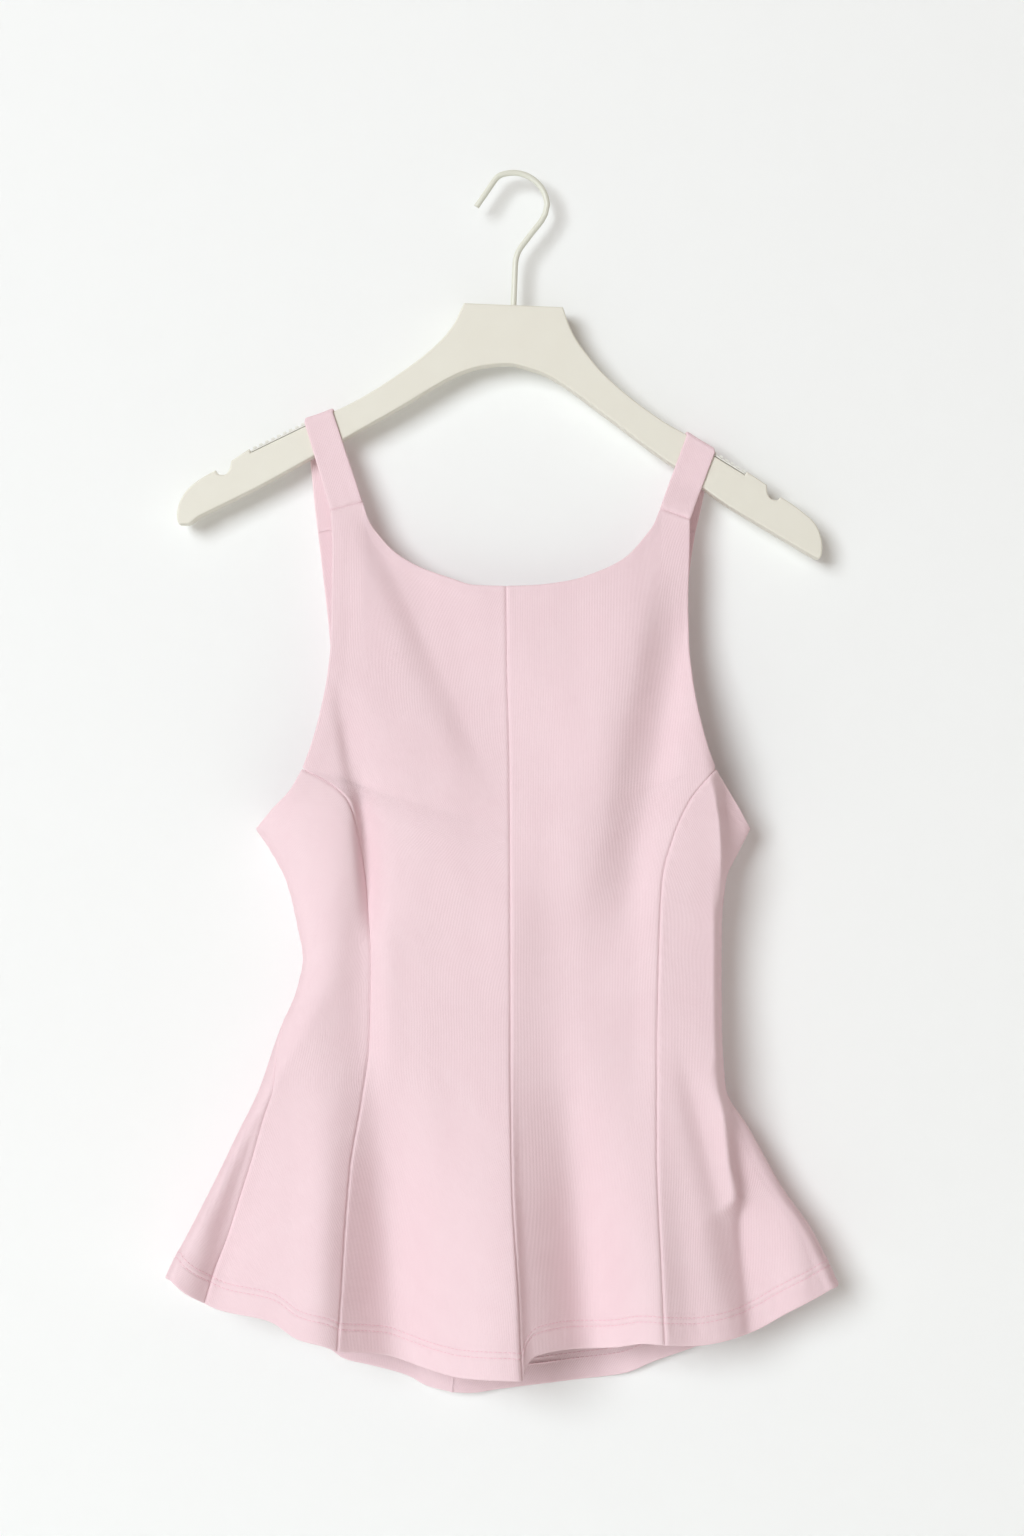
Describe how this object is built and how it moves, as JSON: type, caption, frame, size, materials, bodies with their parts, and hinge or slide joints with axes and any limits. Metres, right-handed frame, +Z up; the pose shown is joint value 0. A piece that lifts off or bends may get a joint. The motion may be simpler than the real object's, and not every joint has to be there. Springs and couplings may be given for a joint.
{
  "type": "peplum top on hanger",
  "caption": "Sleeveless peplum top with wide straps, a scoop neck, princess seams and a flared, stitched hem, hanging from a flat hanger with a wire hook.",
  "frame": {"origin": "underside of the hook wire at the top of its bend, where the hanger rests on a rail", "axes": "+Z up, -Y out of the garment's front, +X to the right as seen from the front"},
  "size_m": [0.4342, 0.0756, 0.7961],
  "materials": {
    "knit": "matte",
    "hanger": "matte",
    "grip": "matte",
    "wire": "satin"
  },
  "bodies": {
    "root": {"hanger_bar": "hanger", "hanger_hook": "wire", "grip_left": "grip", "grip_right": "grip", "strap_left": "knit", "strap_right": "knit", "front_left": "knit", "front_right": "knit", "side_left": "knit", "side_right": "knit", "back_left": "knit", "back_right": "knit"}
  },
  "joints": []
}
